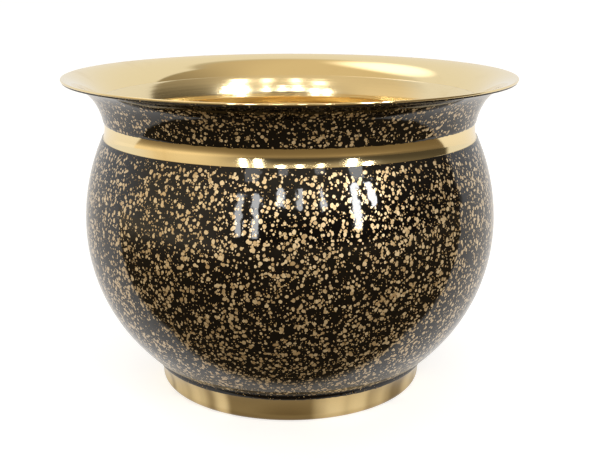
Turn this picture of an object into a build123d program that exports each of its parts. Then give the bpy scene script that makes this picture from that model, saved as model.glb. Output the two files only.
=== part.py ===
from build123d import *
from math import asin, cos, sin, sqrt
import os

# A free-standing brass cachepot, turned about the Z axis: a spun bowl, a flared collar that sits on
# its shoulder, and a foot ring under it, soldered together and enamelled outside.
# Lengths are in millimetres. In every outline x is the distance from the axis and y the height.

# Sheet, coat and solder
sheet = 1.0  # wall of the bowl and the collar
foot_sheet = 1.2  # wall of the foot ring
coat = 0.3  # enamel with its clear top layer
solder_gap = 0.25  # joint gap that the solder fills
rim_round_share = 0.35  # corner rounding of the rim's edge, as a share of the sheet

# Heights, each measured from the one before
equator_height = 86.5  # standing plane to the widest line of the belly
shoulder_rise = 45.2  # up to the ledge that the collar sits on
throat_rise = 5.4  # up to the narrowest line of the neck
band_rise = 2.6  # up to the upper edge of the bare band
neck_rise = 10.4  # up to where the lip begins
lip_rise = 11.9  # up to the top of the rim

# Reaches from the axis, most of them measured from the throat
throat_radius = 94.7  # bare neck at its narrowest
belly_swell = 11.3
seat_flare = 0.9  # collar's foot, which curls out to the ledge
seat_step = 0.2  # shoulder's edge stands out this far past the collar's foot
neck_flare = 3.85  # collar's reach where the lip begins
lip_reach = 20.3

# Neck joint and rim
roll_share = 0.96  # share of the neck's curve that the bowl's rolled neck covers
bare_edge = 0.6  # brass left bare along the rim

# Bowl's floor
floor_inset = 47.5  # floor's edge, from the belly's widest line inwards
floor_height = 6.0  # underside above the standing plane
floor_bend = 14.0

# Foot ring
foot_height = 14.0
foot_toe = 4.0  # rounding at the bottom, which ends at the ring's waist
foot_flare = 3.3  # top edge stands out this far past the waist
foot_hem = 3.0  # flat standing width, turned inwards
foot_bead = 3.0  # depth of the solder under the ring's top edge


def curve_radius(reach, rise):
    """Radius of an arc that leaves its tangent line and is off it by reach after rise."""
    return (reach**2 + rise**2) / (2 * reach)


def beyond(centre, radius, height):
    """Point of a circle at a height, on the side away from the axis."""
    return Vector(centre.X + sqrt(radius**2 - (height - centre.Y) ** 2), height)


def before(centre, radius, height):
    """Point of a circle at a height, on the side towards the axis."""
    return Vector(centre.X - sqrt(radius**2 - (height - centre.Y) ** 2), height)


def above(centre, radius, reach):
    """Point of a circle at a distance from the axis, on its upper side."""
    return Vector(reach, centre.Y + sqrt(radius**2 - (reach - centre.X) ** 2))


def turned(centre, radius, angle):
    """Point of a circle, turned up by an angle from the side towards the axis."""
    return centre + Vector(-cos(angle), sin(angle)) * radius


def follow_radius(centre, start, end):
    """Radius of an arc that leaves start in line with an arc about a centre and passes through end."""
    outward = (centre - start).normalized()
    chord = end - start
    return chord.length**2 / (2 * chord.dot(outward))


def arc(centre, start, end):
    """Short arc about a centre between two points at the same distance from it."""
    spoke = (start - centre) + (end - centre)
    return ThreePointArc(start, centre + spoke.normalized() * (start - centre).length, end)


def soften(section, corner, radius):
    """Section with the corner at a point rounded."""
    return fillet(section.vertices().sort_by_distance(corner)[0], radius)


def spin(section):
    """Solid turned once round the axis."""
    return revolve(Plane.XZ * section, Axis.Z)


# Places that more than one piece uses
seat_height = equator_height + shoulder_rise
throat_height = seat_height + throat_rise
neck_top_height = throat_height + band_rise + neck_rise
rim_height = neck_top_height + lip_rise
belly_radius = throat_radius + belly_swell
seat_radius = throat_radius + seat_flare + seat_step
floor_radius = belly_radius - floor_inset
rim_radius = throat_radius + lip_reach

shoulder_curve = curve_radius(belly_radius - seat_radius, shoulder_rise)
shoulder_centre = Vector(belly_radius - shoulder_curve, equator_height)
flank_curve = curve_radius(floor_inset, equator_height - floor_height)
flank_centre = Vector(belly_radius - flank_curve, equator_height)

# The throat's curve ends at the bare band's upper edge, and the neck's curve goes on in line with it
throat_curve = curve_radius(seat_flare, throat_rise)
throat_centre = Vector(throat_radius + throat_curve, throat_height)
band_angle = asin(band_rise / throat_curve)
band_point = turned(throat_centre, throat_curve, band_angle)
neck_top = Vector(throat_radius + neck_flare, neck_top_height)
neck_curve = follow_radius(throat_centre, band_point, neck_top)
neck_centre = band_point + (throat_centre - band_point).normalized() * neck_curve
lip_angle = asin((neck_top_height - neck_centre.Y) / neck_curve)
roll_angle = band_angle + roll_share * (lip_angle - band_angle)

# The lip's upper face leaves the neck's inner face in line with it and ends at the rim's top edge
rim_point = Vector(rim_radius, rim_height)
lip_start = turned(neck_centre, neck_curve + sheet, lip_angle)
lip_upper_curve = follow_radius(neck_centre, lip_start, rim_point)
lip_centre = lip_start + (neck_centre - lip_start).normalized() * lip_upper_curve
lip_curve = lip_upper_curve - sheet

# The foot ring's top edge rests on the bowl with the solder's gap between them
foot_curve = curve_radius(foot_flare, foot_height - foot_toe)
foot_angle = asin((foot_height - foot_toe) / foot_curve)
foot_top = foot_height + foot_sheet * sin(foot_angle)
foot_top_radius = beyond(flank_centre, flank_curve, foot_top).X + solder_gap
waist_radius = foot_top_radius - foot_curve + (foot_curve + foot_sheet) * cos(foot_angle)
foot_centre = Vector(waist_radius + foot_curve, foot_toe)
toe_centre = Vector(waist_radius - foot_toe, foot_toe)


def neck_face(inset, foot_height, end_angle):
    """First point, last point and edges of the neck's face at an inset from the collar's outer face."""
    foot = before(throat_centre, throat_curve + inset, foot_height)
    joint = turned(throat_centre, throat_curve + inset, band_angle)
    end = turned(neck_centre, neck_curve + inset, end_angle)
    return foot, end, [arc(throat_centre, foot, joint), arc(neck_centre, joint, end)]


def belly_bowl():
    """Spun bowl with a flat floor, a ledge at the shoulder and a neck rolled out inside the collar."""
    inner_floor = floor_height + sheet
    ledge_under = seat_height - sheet
    roll_inset = sheet + solder_gap

    floor_edge = Vector(floor_radius, floor_height)
    equator = Vector(belly_radius, equator_height)
    seat_edge = Vector(seat_radius, seat_height)
    roll_foot, roll_end, roll_out = neck_face(roll_inset, seat_height, roll_angle)
    roll_foot_in, roll_end_in, roll_in = neck_face(roll_inset + sheet, ledge_under, roll_angle)
    seat_edge_in = beyond(shoulder_centre, shoulder_curve - sheet, ledge_under)
    equator_in = Vector(belly_radius - sheet, equator_height)
    floor_edge_in = beyond(flank_centre, flank_curve - sheet, inner_floor)

    section = make_face(
        [
            Line((0, floor_height), floor_edge),
            arc(flank_centre, floor_edge, equator),
            arc(shoulder_centre, equator, seat_edge),
            Line(seat_edge, roll_foot),
            *roll_out,
            Line(roll_end, roll_end_in),
            *roll_in,
            Line(roll_foot_in, seat_edge_in),
            arc(shoulder_centre, seat_edge_in, equator_in),
            arc(flank_centre, equator_in, floor_edge_in),
            Line(floor_edge_in, (0, inner_floor)),
            Line((0, inner_floor), (0, floor_height)),
        ]
    )
    section = soften(section, floor_edge, floor_bend)
    section = soften(section, floor_edge_in, floor_bend - sheet)
    return spin(section)


def flared_collar():
    """Spun collar: a bare throat that stands on the bowl's ledge and a lip that flares to the rim."""
    foot_in, _, neck_in = neck_face(sheet, seat_height, lip_angle)
    foot_out, lip_under, neck_out = neck_face(0, seat_height, lip_angle)
    rim_under = above(lip_centre, lip_curve, rim_radius)

    section = make_face(
        [
            *neck_in,
            arc(lip_centre, lip_start, rim_point),
            Line(rim_point, rim_under),
            arc(lip_centre, rim_under, lip_under),
            *neck_out,
            Line(foot_out, foot_in),
        ]
    )
    section = soften(section, rim_point, rim_round_share * sheet)
    section = soften(section, rim_under, rim_round_share * sheet)
    return spin(section)


def foot_ring():
    """Spun ring with a hollow flank, a rounded toe and a hem turned inwards to stand on."""
    hem_radius = toe_centre.X - foot_hem
    toe = Vector(toe_centre.X, 0)
    waist = Vector(waist_radius, foot_toe)
    top_out = turned(foot_centre, foot_curve, foot_angle)
    top_in = turned(foot_centre, foot_curve + foot_sheet, foot_angle)
    waist_in = Vector(waist_radius - foot_sheet, foot_toe)
    toe_in = Vector(toe_centre.X, foot_sheet)

    section = make_face(
        [
            Line((hem_radius, 0), toe),
            arc(toe_centre, toe, waist),
            arc(foot_centre, waist, top_out),
            Line(top_out, top_in),
            arc(foot_centre, top_in, waist_in),
            arc(toe_centre, waist_in, toe_in),
            Line(toe_in, (hem_radius, foot_sheet)),
            Line((hem_radius, foot_sheet), (hem_radius, 0)),
        ]
    )
    return spin(section)


def neck_solder():
    """Solder sleeve between the collar's throat and the bowl's rolled neck."""
    collar_foot, collar_end, collar_face = neck_face(sheet, seat_height, roll_angle)
    roll_foot, roll_end, roll_face = neck_face(sheet + solder_gap, seat_height, roll_angle)

    section = make_face(
        [
            *collar_face,
            Line(collar_end, roll_end),
            *roll_face,
            Line(roll_foot, collar_foot),
        ]
    )
    return spin(section)


def foot_solder():
    """Solder bead in the wedge between the bowl and the foot ring's top edge."""
    bead_foot = foot_top - foot_bead
    bowl_top = beyond(flank_centre, flank_curve, foot_top)
    bowl_foot = beyond(flank_centre, flank_curve, bead_foot)
    ring_top = turned(foot_centre, foot_curve + foot_sheet, foot_angle)
    ring_foot = before(foot_centre, foot_curve + foot_sheet, bead_foot)

    section = make_face(
        [
            arc(flank_centre, bowl_foot, bowl_top),
            Line(bowl_top, ring_top),
            arc(foot_centre, ring_top, ring_foot),
            Line(ring_foot, bowl_foot),
        ]
    )
    return spin(section)


def belly_enamel():
    """Enamel coat of the bowl, from the ledge's edge down to just above the foot ring."""
    coat_foot = foot_top + coat
    top_in = Vector(seat_radius, seat_height)
    top_out = beyond(shoulder_centre, shoulder_curve + coat, seat_height)
    equator_in = Vector(belly_radius, equator_height)
    equator_out = Vector(belly_radius + coat, equator_height)
    foot_in = beyond(flank_centre, flank_curve, coat_foot)
    foot_out = beyond(flank_centre, flank_curve + coat, coat_foot)

    section = make_face(
        [
            Line(top_in, top_out),
            arc(shoulder_centre, top_out, equator_out),
            arc(flank_centre, equator_out, foot_out),
            Line(foot_out, foot_in),
            arc(flank_centre, foot_in, equator_in),
            arc(shoulder_centre, equator_in, top_in),
        ]
    )
    return spin(section)


def collar_enamel():
    """Enamel coat of the collar, from the bare band up the lip's underside to the rim."""
    coat_end = rim_radius - bare_edge
    band_out = turned(neck_centre, neck_curve - coat, band_angle)
    lip_in = turned(neck_centre, neck_curve, lip_angle)
    lip_out = turned(neck_centre, neck_curve - coat, lip_angle)
    end_in = above(lip_centre, lip_curve, coat_end)
    end_out = above(lip_centre, lip_curve - coat, coat_end)

    section = make_face(
        [
            Line(band_point, band_out),
            arc(neck_centre, band_out, lip_out),
            arc(lip_centre, lip_out, end_out),
            Line(end_out, end_in),
            arc(lip_centre, end_in, lip_in),
            arc(neck_centre, lip_in, band_point),
        ]
    )
    return spin(section)


os.makedirs("parts", exist_ok=True)
for piece in (belly_bowl, flared_collar, foot_ring, neck_solder, foot_solder, belly_enamel, collar_enamel):
    export_step(piece(), f"parts/{piece.__name__}.step")
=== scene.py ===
"""Looks of a spun-brass cachepot: polished brass, black enamel and a spatter of gold paint drops.

Every metal piece and coat is an outline turned about the Z axis by one Geometry Nodes tree, and the
paint drops are scattered over the turned coats by a second one. Sizes are in metres, +Z is up, and
the pot stands on the plane z = 0.
"""

import logging
import math
from dataclasses import dataclass, field
from enum import Enum
from typing import Any, Self

import bpy
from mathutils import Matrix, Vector

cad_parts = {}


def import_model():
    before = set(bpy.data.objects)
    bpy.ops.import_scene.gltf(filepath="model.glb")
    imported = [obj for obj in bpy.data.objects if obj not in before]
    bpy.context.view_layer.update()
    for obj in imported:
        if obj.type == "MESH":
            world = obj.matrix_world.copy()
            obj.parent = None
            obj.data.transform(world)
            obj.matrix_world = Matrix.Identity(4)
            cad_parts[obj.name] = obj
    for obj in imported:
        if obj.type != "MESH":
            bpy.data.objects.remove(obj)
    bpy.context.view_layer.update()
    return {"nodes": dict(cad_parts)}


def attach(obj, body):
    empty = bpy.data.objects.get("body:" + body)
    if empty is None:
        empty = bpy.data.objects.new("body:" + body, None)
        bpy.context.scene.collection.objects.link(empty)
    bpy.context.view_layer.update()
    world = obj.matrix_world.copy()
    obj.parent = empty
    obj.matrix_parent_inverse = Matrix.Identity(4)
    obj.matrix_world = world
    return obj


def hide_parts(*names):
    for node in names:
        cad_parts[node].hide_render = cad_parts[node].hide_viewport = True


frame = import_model()

log = logging.getLogger("cachepot")

Colour = tuple[float, float, float, float]
Range = tuple[float, float]
Material = bpy.types.Material
Node = bpy.types.Node
Socket = bpy.types.NodeSocket
Sockets = bpy.types.bpy_prop_collection
Tree = bpy.types.NodeTree

MM = 0.001
BODY = "root"
WHITE: Colour = (1.0, 1.0, 1.0, 1.0)
ROOM_LIGHT: Colour = (1.0, 0.86, 0.63, 1.0)

# Distances between the points of an outline
PITCH = 1.5 * MM
FINE_PITCH = 1.0 * MM
EDGE_STEPS = 8
STILL = Vector((0, 0))


class Slot(Enum):
    """Material slots of the part's record."""

    BRASS = "spun_brass"
    SOLDER = "solder"
    ENAMEL = "black_enamel"


class Choice(Enum):
    """Random choices for each paint drop, with the step that keeps their seeds apart."""

    SHAPE = 2
    TONE = 3
    SIZE = 4
    STRETCH = 5


class DropSize(Enum):
    """Sizes of the gold drops."""

    BOLD = (0.75 * MM, 1.08 * MM, 35000.0, 13, 5)
    MIDDLE = (0.46 * MM, 0.76 * MM, 114000.0, 10, 17)
    FINE = (0.24 * MM, 0.46 * MM, 118000.0, 8, 29)

    def __init__(self, smallest: float, largest: float, per_m2: float, points: int, seed: int) -> None:
        """Names the values of one size.

        Args:
            smallest: least radius of a drop.
            largest: greatest radius of a drop.
            per_m2: how many drops to the square metre.
            points: number of points round a drop's rim.
            seed: seed of everything random about them.
        """
        self.smallest = smallest
        self.largest = largest
        self.per_m2 = per_m2
        self.points = points
        self.seed = seed


class Sheet:
    """Adds nodes to one node tree and wires them together."""

    NUMBER_RESULTS = ("LENGTH", "DOT_PRODUCT")

    def __init__(self, tree: Tree) -> None:
        """Keeps the tree that the nodes go into."""
        self.tree = tree

    def feed(self, node: Node, inputs: dict[Any, Any]) -> None:
        """Sets or links a node's inputs.

        Args:
            node: node to feed.
            inputs: socket name or number, with the value or the output socket that feeds it.
        """
        for key, value in inputs.items():
            if isinstance(value, Socket):
                self.tree.links.new(value, node.inputs[key])
            else:
                node.inputs[key].default_value = value

    def add(self, kind: str, inputs: dict[Any, Any] | None = None, **settings: Any) -> Node:
        """Adds one node.

        Args:
            kind: Blender's name of the node type.
            inputs: socket name or number, with the value or the output socket that feeds it.
            settings: properties of the node itself.

        Returns:
            The new node.
        """
        node = self.tree.nodes.new(kind)
        for name, value in settings.items():
            setattr(node, name, value)
        self.feed(node, inputs or {})
        return node

    def shape(self, kind: str, geometry: Socket, inputs: dict[str, Any], **settings: Any) -> Socket:
        """Adds a Geometry Nodes node that changes a geometry.

        Args:
            kind: Blender's name of the node type, without GeometryNode at its start.
            geometry: the geometry's socket.
            inputs: its other inputs.
            settings: properties of the node itself.

        Returns:
            Socket of the changed geometry.
        """
        return self.add("GeometryNode" + kind, {"Geometry": geometry, **inputs}, **settings).outputs[0]

    def group(self, tree: Tree, inputs: dict[str, Any]) -> Sockets:
        """Places a shader group with its own values and gives its outputs."""
        return self.add("ShaderNodeGroup", inputs, node_tree=tree).outputs

    def sum(self, operation: str, *terms: Any) -> Socket:
        """Adds a Math node.

        Args:
            operation: what it does with its terms.
            terms: numbers or output sockets.

        Returns:
            The node's output socket.
        """
        return self.add("ShaderNodeMath", dict(enumerate(terms)), operation=operation).outputs[0]

    def vector(self, operation: str, *terms: Any) -> Socket:
        """Adds a Vector Math node.

        Args:
            operation: what it does with its terms.
            terms: vectors or output sockets.

        Returns:
            Socket of the number or the vector that the operation gives.
        """
        node = self.add("ShaderNodeVectorMath", dict(enumerate(terms)), operation=operation)
        return node.outputs["Value" if operation in self.NUMBER_RESULTS else "Vector"]

    def place(self) -> Socket:
        """Object coordinates of the point that is shaded."""
        return self.add("ShaderNodeTexCoord").outputs["Object"]

    def split(self, vector: Socket) -> Sockets:
        """The numbers X, Y and Z of a vector."""
        return self.add("ShaderNodeSeparateXYZ", {0: vector}).outputs

    def join(self, x: Any, y: Any, z: Any) -> Socket:
        """The vector of three numbers."""
        return self.add("ShaderNodeCombineXYZ", {0: x, 1: y, 2: z}).outputs[0]

    def flat_way(self, vector: Socket) -> Socket:
        """The level direction in which a vector points."""
        return self.vector("NORMALIZE", self.vector("MULTIPLY", vector, (1.0, 1.0, 0.0)))

    def noise(self, **inputs: Any) -> Socket:
        """A noise from 0 to 1, with the noise texture's inputs by name."""
        return self.add("ShaderNodeTexNoise", inputs).outputs["Fac"]

    def random(self, seed: Any, low: float, high: float) -> Socket:
        """A random number from low to high for each element of a geometry."""
        # Sockets 2 and 3 and output 1 are the node's plain numbers
        inputs = {2: low, 3: high, "Seed": seed}
        return self.add("FunctionNodeRandomValue", inputs, data_type="FLOAT").outputs[1]

    def bump(self, height: Socket, strength: float, distance: float) -> Socket:
        """The normal that a height gives."""
        inputs = {"Height": height, "Strength": strength, "Distance": distance}
        return self.add("ShaderNodeBump", inputs).outputs[0]

    def span(self, value: Socket, low: Any, high: Any, to_low: float = 0.0, to_high: float = 1.0) -> Socket:
        """Maps a value smoothly from one range to another.

        Args:
            value: output socket to map.
            low: start of the range it comes from.
            high: end of that range.
            to_low: result at the start.
            to_high: result at the end.

        Returns:
            The mapped value's socket.
        """
        ends = {"Value": value, "From Min": low, "From Max": high, "To Min": to_low, "To Max": to_high}
        return self.add("ShaderNodeMapRange", ends, interpolation_type="SMOOTHSTEP").outputs["Result"]

    def blend(self, share: Socket, first: Any, second: Any) -> Socket:
        """Mixes two colours.

        Args:
            share: how much of the second colour shows, from 0 to 1.
            first: colour at 0.
            second: colour at 1.

        Returns:
            The mixed colour's socket.
        """
        # A Mix node has sockets for every kind of data: 6, 7 and output 2 are its colours
        return self.add("ShaderNodeMix", {0: share, 6: first, 7: second}, data_type="RGBA").outputs[2]


def new_group(name: str, kind: str, inputs: dict[str, str], outputs: dict[str, str]) -> tuple[Sheet, Sockets]:
    """Starts a node group with its sockets.

    Args:
        name: name of the group.
        kind: Geometry or Shader.
        inputs: name of each input, with the kind of its socket.
        outputs: name of each output, with the kind of its socket.

    Returns:
        A sheet that adds nodes to the group, and the sockets of the inputs.
    """
    tree = bpy.data.node_groups.new(name, kind + "NodeTree")
    for way, sockets in (("INPUT", inputs), ("OUTPUT", outputs)):
        for label, socket in sockets.items():
            tree.interface.new_socket(label, in_out=way, socket_type="NodeSocket" + socket)
    sheet = Sheet(tree)
    return sheet, sheet.add("NodeGroupInput").outputs


def blank_sheet(owner: Material | bpy.types.World) -> Sheet:
    """Empties the node tree of a material or a world and gives a sheet for new nodes."""
    owner.use_nodes = True
    owner.node_tree.nodes.clear()
    return Sheet(owner.node_tree)


def new_object(name: str, data: bpy.types.ID) -> bpy.types.Object:
    """Puts a new object with its data into the scene."""
    item = bpy.data.objects.new(name, data)
    bpy.context.scene.collection.objects.link(item)
    return item


def beyond(centre: Vector, radius: float, height: float) -> Vector:
    """Point of a circle at a height, on the side away from the axis."""
    return Vector((centre.x + math.sqrt(radius**2 - (height - centre.y) ** 2), height))


def before(centre: Vector, radius: float, height: float) -> Vector:
    """Point of a circle at a height, on the side towards the axis."""
    return Vector((centre.x - math.sqrt(radius**2 - (height - centre.y) ** 2), height))


def above(centre: Vector, radius: float, reach: float) -> Vector:
    """Point of a circle at a distance from the axis, on its upper side."""
    return Vector((reach, centre.y + math.sqrt(radius**2 - (reach - centre.x) ** 2)))


def turned(centre: Vector, radius: float, angle: float) -> Vector:
    """Point of a circle, turned up by an angle from the side towards the axis."""
    return centre + Vector((-math.cos(angle), math.sin(angle))) * radius


@dataclass
class Outline:
    """Line of points that is turned about the axis. Its left side, seen along it, is the inside.

    x is the distance from the axis and y the height. An outer face runs down and an inner face up.
    """

    points: list[Vector] = field(default_factory=list)
    drifts: list[Vector] = field(default_factory=list)

    def to(self, *places: Vector, drift: Vector = STILL) -> Self:
        """Runs straight on to each place.

        Args:
            places: points to go to, in order.
            drift: which way and how far a ragged edge may wander there.

        Returns:
            The outline itself.
        """
        for place in places:
            self.points.append(place.copy())
            self.drifts.append(drift.copy())
        return self

    def arc(self, centre: Vector, end: Vector, pitch: float = PITCH) -> Self:
        """Runs on along the short arc about a centre.

        Args:
            centre: centre of the arc.
            end: last point of the arc.
            pitch: distance between points.

        Returns:
            The outline itself.
        """
        start = self.points[-1] - centre
        turn = start.angle_signed(end - centre)
        steps = max(2, round(start.length * abs(turn) / pitch))
        for step in range(1, steps + 1):
            angle = -turn * step / steps
            cos, sin = math.cos(angle), math.sin(angle)
            self.to(centre + Vector((start.x * cos - start.y * sin, start.x * sin + start.y * cos)))
        return self

    def edge(self, end: Vector, reach: float) -> Self:
        """Rounds the end of a sheet, from the last point to the sheet's other face.

        Args:
            end: point on the other face.
            reach: how far the rounding stands out past the two points.

        Returns:
            The outline itself.
        """
        start = self.points[-1].copy()
        middle = (start + end) / 2
        half = (start - end) / 2
        outward = Vector((half.y, -half.x)).normalized() * reach
        for step in range(1, EDGE_STEPS):
            angle = math.pi * step / EDGE_STEPS
            self.to(middle + half * math.cos(angle) + outward * math.sin(angle))
        return self.to(end)

    def closed(self) -> Self:
        """Ends at its first point, so that the turned piece is a closed shell."""
        return self.to(self.points[0])

    def line_mesh(self, name: str) -> bpy.types.Mesh:
        """Makes a mesh of the outline's points in the XZ plane, with the drifts as an attribute.

        Args:
            name: name of the mesh.

        Returns:
            The mesh.
        """
        mesh = bpy.data.meshes.new(name)
        places = [(p.x, 0.0, p.y) for p in self.points]
        mesh.from_pydata(places, [(i, i + 1) for i in range(len(places) - 1)], [])
        drift = mesh.attributes.new("drift", "FLOAT_VECTOR", "POINT")
        for item, way in zip(drift.data, self.drifts, strict=True):
            item.vector = (way.x, 0.0, way.y)
        return mesh


@dataclass(frozen=True)
class PotForm:
    """Sizes that the pieces share, and the places that follow from them."""

    sheet: float = 1.0 * MM
    foot_sheet: float = 1.2 * MM
    coat: float = 0.3 * MM
    solder_gap: float = 0.25 * MM
    equator_height: float = 86.5 * MM
    shoulder_rise: float = 45.2 * MM
    throat_rise: float = 5.4 * MM
    band_rise: float = 2.6 * MM
    neck_rise: float = 10.4 * MM
    lip_rise: float = 11.9 * MM
    throat_radius: float = 94.7 * MM
    belly_swell: float = 11.3 * MM
    seat_flare: float = 0.9 * MM
    seat_step: float = 0.2 * MM
    neck_flare: float = 3.85 * MM
    lip_reach: float = 20.3 * MM
    roll_share: float = 0.96
    bare_edge: float = 0.6 * MM
    floor_inset: float = 47.5 * MM
    floor_height: float = 6.0 * MM
    foot_height: float = 14.0 * MM
    foot_toe: float = 4.0 * MM
    foot_flare: float = 3.3 * MM
    foot_hem: float = 3.0 * MM

    @staticmethod
    def curve(reach: float, rise: float) -> float:
        """Radius of an arc that is off its tangent line by reach after rise."""
        return (reach**2 + rise**2) / (2 * reach)

    @staticmethod
    def follow(centre: Vector, start: Vector, end: Vector) -> float:
        """Radius of an arc that leaves start in line with an arc about a centre and passes through end."""
        chord = end - start
        return chord.length_squared / (2 * chord.dot((centre - start).normalized()))

    @property
    def seat_height(self) -> float:
        """Height of the ledge that the collar sits on."""
        return self.equator_height + self.shoulder_rise

    @property
    def throat_height(self) -> float:
        """Height of the neck's narrowest line."""
        return self.seat_height + self.throat_rise

    @property
    def neck_top(self) -> Vector:
        """Point of the collar's outer face where the lip begins."""
        height = self.throat_height + self.band_rise + self.neck_rise
        return Vector((self.throat_radius + self.neck_flare, height))

    @property
    def rim_height(self) -> float:
        """Height of the rim's top."""
        return self.neck_top.y + self.lip_rise

    @property
    def seat_radius(self) -> float:
        """Radius of the shoulder's edge, just outside the collar's foot."""
        return self.throat_radius + self.seat_flare + self.seat_step

    @property
    def belly_radius(self) -> float:
        """Radius of the bowl's metal at its widest."""
        return self.throat_radius + self.belly_swell

    @property
    def rim_radius(self) -> float:
        """Radius of the rim's edge."""
        return self.throat_radius + self.lip_reach

    @property
    def shoulder_curve(self) -> float:
        """Radius of the arc from the widest line up to the ledge."""
        return self.curve(self.belly_radius - self.seat_radius, self.shoulder_rise)

    @property
    def shoulder_centre(self) -> Vector:
        """Centre of the shoulder's arc."""
        return Vector((self.belly_radius - self.shoulder_curve, self.equator_height))

    @property
    def flank_curve(self) -> float:
        """Radius of the arc from the widest line down to the floor."""
        return self.curve(self.floor_inset, self.equator_height - self.floor_height)

    @property
    def flank_centre(self) -> Vector:
        """Centre of the flank's arc."""
        return Vector((self.belly_radius - self.flank_curve, self.equator_height))

    @property
    def throat_curve(self) -> float:
        """Radius of the throat's hollow outside, from the ledge to the bare band's upper edge."""
        return self.curve(self.seat_flare, self.throat_rise)

    @property
    def throat_centre(self) -> Vector:
        """Centre of the throat's hollow."""
        return Vector((self.throat_radius + self.throat_curve, self.throat_height))

    @property
    def band_angle(self) -> float:
        """Turn of the throat's arc from its narrowest line to the bare band's upper edge."""
        return math.asin(self.band_rise / self.throat_curve)

    @property
    def band_point(self) -> Vector:
        """Point of the collar's outer face at the bare band's upper edge."""
        return turned(self.throat_centre, self.throat_curve, self.band_angle)

    @property
    def neck_curve(self) -> float:
        """Radius of the neck's hollow outside, above the bare band."""
        return self.follow(self.throat_centre, self.band_point, self.neck_top)

    @property
    def neck_centre(self) -> Vector:
        """Centre of the neck's hollow."""
        outward = (self.throat_centre - self.band_point).normalized()
        return self.band_point + outward * self.neck_curve

    @property
    def lip_angle(self) -> float:
        """Turn of the neck's arc, from level, at which the lip begins."""
        return math.asin((self.neck_top.y - self.neck_centre.y) / self.neck_curve)

    @property
    def roll_angle(self) -> float:
        """Turn of the neck's arc, from level, at which the bowl's rolled neck ends."""
        return self.band_angle + self.roll_share * (self.lip_angle - self.band_angle)

    @property
    def roll_inset(self) -> float:
        """How far the rolled neck's outer face lies inside the collar's outer face."""
        return self.sheet + self.solder_gap

    @property
    def lip_start(self) -> Vector:
        """Point of the collar's inner face where the lip begins."""
        return turned(self.neck_centre, self.neck_curve + self.sheet, self.lip_angle)

    @property
    def lip_upper_curve(self) -> float:
        """Radius of the lip's upper face, which leaves the neck in line and ends at the rim."""
        return self.follow(self.neck_centre, self.lip_start, Vector((self.rim_radius, self.rim_height)))

    @property
    def lip_centre(self) -> Vector:
        """Centre of the lip's arc."""
        return self.lip_start + (self.neck_centre - self.lip_start).normalized() * self.lip_upper_curve

    @property
    def foot_curve(self) -> float:
        """Radius of the foot ring's hollow flank."""
        return self.curve(self.foot_flare, self.foot_height - self.foot_toe)

    @property
    def foot_angle(self) -> float:
        """Turn of the foot ring's hollow from its waist to its top edge."""
        return math.asin((self.foot_height - self.foot_toe) / self.foot_curve)

    @property
    def foot_top(self) -> float:
        """Height of the foot ring's top edge where it rests on the bowl."""
        return self.foot_height + self.foot_sheet * math.sin(self.foot_angle)

    @property
    def waist_radius(self) -> float:
        """Radius of the foot ring at its narrowest."""
        rest = beyond(self.flank_centre, self.flank_curve, self.foot_top).x + self.solder_gap
        return rest - self.foot_curve + (self.foot_curve + self.foot_sheet) * math.cos(self.foot_angle)

    @property
    def foot_centre(self) -> Vector:
        """Centre of the foot ring's hollow."""
        return Vector((self.waist_radius + self.foot_curve, self.foot_toe))

    @property
    def toe_centre(self) -> Vector:
        """Centre of the foot ring's rounded toe."""
        return Vector((self.waist_radius - self.foot_toe, self.foot_toe))

    def neck_foot(self, inset: float, height: float) -> Vector:
        """Point at a height on the neck's face that lies inset inside the collar's outer face."""
        return before(self.throat_centre, self.throat_curve + inset, height)

    def neck_end(self, inset: float, angle: float) -> Vector:
        """Point at an angle on the neck's face that lies inset inside the collar's outer face."""
        return turned(self.neck_centre, self.neck_curve + inset, angle)

    def foot_end(self, inset: float, angle: float) -> Vector:
        """Point at an angle on the foot's face that lies inset inside the ring's outer face."""
        return turned(self.foot_centre, self.foot_curve + inset, angle)

    def lip_under(self, reach: float, coat: float = 0.0) -> Vector:
        """Point at a distance from the axis under the lip, or under a coat on it."""
        return above(self.lip_centre, self.lip_upper_curve - self.sheet - coat, reach)

    def climb_neck(self, line: Outline, inset: float, angle: float) -> None:
        """Runs an outline up the neck.

        Args:
            line: outline that has come to the foot of the neck's face.
            inset: how far that face lies inside the collar's outer face.
            angle: turn of the neck's arc at which to stop.
        """
        bend = turned(self.throat_centre, self.throat_curve + inset, self.band_angle)
        line.arc(self.throat_centre, bend, FINE_PITCH)
        line.arc(self.neck_centre, self.neck_end(inset, angle), FINE_PITCH)

    def descend_neck(self, line: Outline, inset: float, height: float) -> None:
        """Runs an outline down the neck.

        Args:
            line: outline that has come to the upper end of the neck's face.
            inset: how far that face lies inside the collar's outer face.
            height: height at which to stop.
        """
        line.arc(self.neck_centre, self.neck_end(inset, self.band_angle), FINE_PITCH)
        line.arc(self.throat_centre, self.neck_foot(inset, height), FINE_PITCH)


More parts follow.
